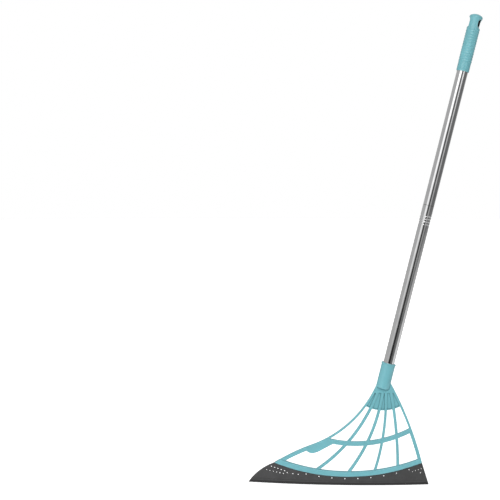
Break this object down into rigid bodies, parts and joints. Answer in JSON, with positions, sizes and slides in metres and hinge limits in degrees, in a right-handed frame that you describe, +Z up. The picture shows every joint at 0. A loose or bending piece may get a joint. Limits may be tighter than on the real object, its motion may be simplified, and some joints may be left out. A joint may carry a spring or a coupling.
{
  "type": "squeegee broom",
  "caption": "Squeegee broom with an open fan-shaped plastic head, a soft wiping blade, and a slim steel tube handle that screws apart.",
  "frame": {"origin": "on the blade's bottom edge, where it touches the floor, at the middle of its length, on the bow's mid surface", "axes": "+X along the blade, away from its pointed end, which is also the way the handle leans; +Y from the bowed front to the back; +Z up"},
  "size_m": [0.4206, 0.027, 0.858],
  "materials": {
    "frame_plastic": "turquoise moulded plastic with a soft sheen",
    "grip_plastic": "turquoise moulded plastic, slightly soft",
    "blade_rubber": "dark grey soft rubber, matte",
    "washer_rubber": "black rubber",
    "tube_steel": "polished stainless steel",
    "plug_plastic": "dark grey moulded plastic"
  },
  "bodies": {
    "head": {"head_frame": "frame_plastic", "wiper_blade": "blade_rubber"},
    "socket_ring": {"socket_washer": "washer_rubber"},
    "lower_pole": {"lower_tube": "tube_steel", "lower_tube_stud": "plug_plastic", "lower_tube_nut": "plug_plastic"},
    "joint_ring": {"joint_washer": "washer_rubber"},
    "upper_pole": {"upper_tube": "tube_steel", "upper_tube_stud": "plug_plastic", "grip": "grip_plastic"}
  },
  "joints": [
    {"name": "lower_lift", "type": "slide", "parent": "head", "child": "socket_ring", "axis": [0.2351, 0, 0.972], "range_m": [0, 0.025]},
    {"name": "lower_screw", "type": "hinge", "parent": "socket_ring", "child": "lower_pole", "pos_m": [0.08609, 0.003, 0.21325], "axis": [0.2351, 0, 0.972], "range_deg": [0, 1800]},
    {"name": "upper_lift", "type": "slide", "parent": "lower_pole", "child": "joint_ring", "axis": [0.2351, 0, 0.972], "range_m": [0, 0.025]},
    {"name": "upper_screw", "type": "hinge", "parent": "joint_ring", "child": "upper_pole", "pos_m": [0.15908, 0.003, 0.51494], "axis": [0.2351, 0, 0.972], "range_deg": [0, 1800]}
  ],
  "couplings": [
    {"joint": "lower_lift", "follows": "lower_screw", "m_per_rad": 0.00079577},
    {"joint": "upper_lift", "follows": "upper_screw", "m_per_rad": 0.00079577}
  ]
}
